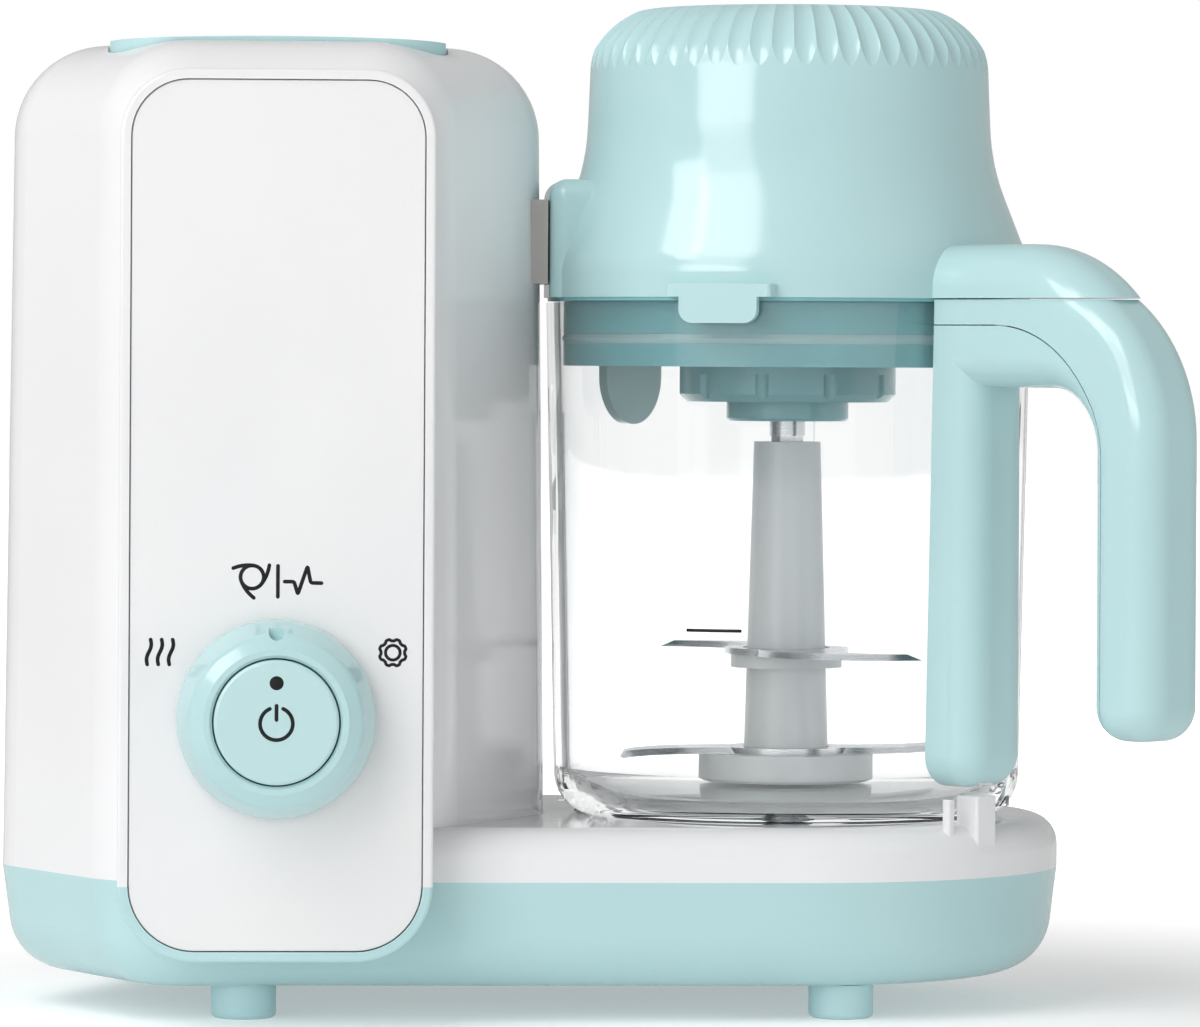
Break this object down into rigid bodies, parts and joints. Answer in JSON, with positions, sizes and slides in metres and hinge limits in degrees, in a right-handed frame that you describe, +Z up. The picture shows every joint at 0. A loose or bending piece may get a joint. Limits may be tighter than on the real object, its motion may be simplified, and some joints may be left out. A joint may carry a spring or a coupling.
{
  "type": "baby food maker",
  "caption": "Counter-top steam cooker and blender: a white tower with dial and water tank, a clear handled jug on its deck and a fluted motor lid.",
  "frame": {"origin": "middle of the machine's plan, on the surface its feet stand on", "axes": "+Z up, -Y towards the user who faces the control panel, +X from the tower to the jug"},
  "size_m": [0.257, 0.1519, 0.2232],
  "materials": {
    "white_shell": "gloss",
    "aqua_plastic": "satin gloss",
    "aqua_light": "satin",
    "panel_white": "satin",
    "tank_plastic": "satin",
    "clear_jug": "clear gloss",
    "hub_plastic": "translucent satin",
    "seal_rubber": "matt",
    "silicone": "matt",
    "dark_plastic": "matt",
    "coupling_grey": "satin",
    "board_green": "satin",
    "steel": "brushed",
    "motor_steel": "drawn",
    "magnet": "matt",
    "winding": "lacquered",
    "cast_alloy": "cast",
    "brass_pins": "plain"
  },
  "bodies": {
    "base": {"upper_housing": "white_shell", "lower_housing": "aqua_plastic", "control_panel": "panel_white", "rotary_switch": "dark_plastic", "control_board": "board_green", "press_switch": "dark_plastic", "water_tank": "tank_plastic", "tank_hinge_pin": "steel", "boiler_stand": "dark_plastic", "boiler": "cast_alloy", "steam_pipe": "silicone", "water_pipe": "silicone", "feet": "aqua_plastic", "base_screws": "steel", "power_inlet": "dark_plastic", "interlock_switch": "dark_plastic", "steam_coupling": "coupling_grey", "power_contacts": "brass_pins"},
    "dial": {"dial": "aqua_plastic"},
    "button": {"power_button": "aqua_light"},
    "tank_lid": {"tank_lid": "aqua_plastic", "tank_seal": "seal_rubber"},
    "jug": {"jug": "clear_jug", "handle_inner": "aqua_plastic", "handle_outer": "aqua_plastic", "blade_pivot": "steel"},
    "interlock": {"interlock_rod": "white_shell"},
    "lid": {"motor_cover": "aqua_plastic", "lid_coupling": "coupling_grey", "lid_base": "aqua_plastic", "lid_gasket": "seal_rubber", "retaining_nut": "aqua_plastic", "seal_carrier": "aqua_plastic", "shaft_seal": "seal_rubber", "steam_deflector": "aqua_plastic", "motor_can": "motor_steel", "field_magnets": "magnet", "motor_end_cap": "dark_plastic", "lower_bush": "brass_pins", "upper_bush": "brass_pins"},
    "rotor": {"drive_shaft": "steel", "armature": "winding", "cooling_fan": "dark_plastic"},
    "blade": {"blade_hub": "hub_plastic", "lower_blade": "steel", "upper_blade": "steel"}
  },
  "joints": [
    {"name": "jug_lift", "type": "slide", "parent": "base", "child": "jug", "axis": [0, 0, 1], "range_m": [0, 0.2]},
    {"name": "lid_lift", "type": "slide", "parent": "jug", "child": "lid", "axis": [0, 0, 1], "range_m": [0, 0.08]},
    {"name": "interlock_slide", "type": "slide", "parent": "jug", "child": "interlock", "axis": [0, 0, 1], "range_m": [0, 0.004]},
    {"name": "motor_spin", "type": "hinge", "parent": "lid", "child": "rotor", "pos_m": [0.0468, 0.015, 0.17], "axis": [0, 0, 1], "continuous": true},
    {"name": "blade_spin", "type": "hinge", "parent": "jug", "child": "blade", "pos_m": [0.0468, 0.015, 0.08], "axis": [0, 0, 1], "continuous": true},
    {"name": "dial_turn", "type": "hinge", "parent": "base", "child": "dial", "pos_m": [-0.0682, -0.0586, 0.067], "axis": [0, -1, 0], "range_deg": [-62, 62]},
    {"name": "button_press", "type": "slide", "parent": "base", "child": "button", "axis": [0, 1, 0], "range_m": [0, 0.0015], "stiffness_N_per_m": 600},
    {"name": "tank_lid_hinge", "type": "hinge", "parent": "base", "child": "tank_lid", "pos_m": [-0.0682, 0.0528, 0.2112], "axis": [-1, 0, 0], "range_deg": [0, 95]}
  ],
  "couplings": [
    {"joint": "blade_spin", "follows": "motor_spin", "ratio": 1},
    {"joint": "interlock_slide", "follows": "lid_lift", "ratio": 0.05}
  ]
}
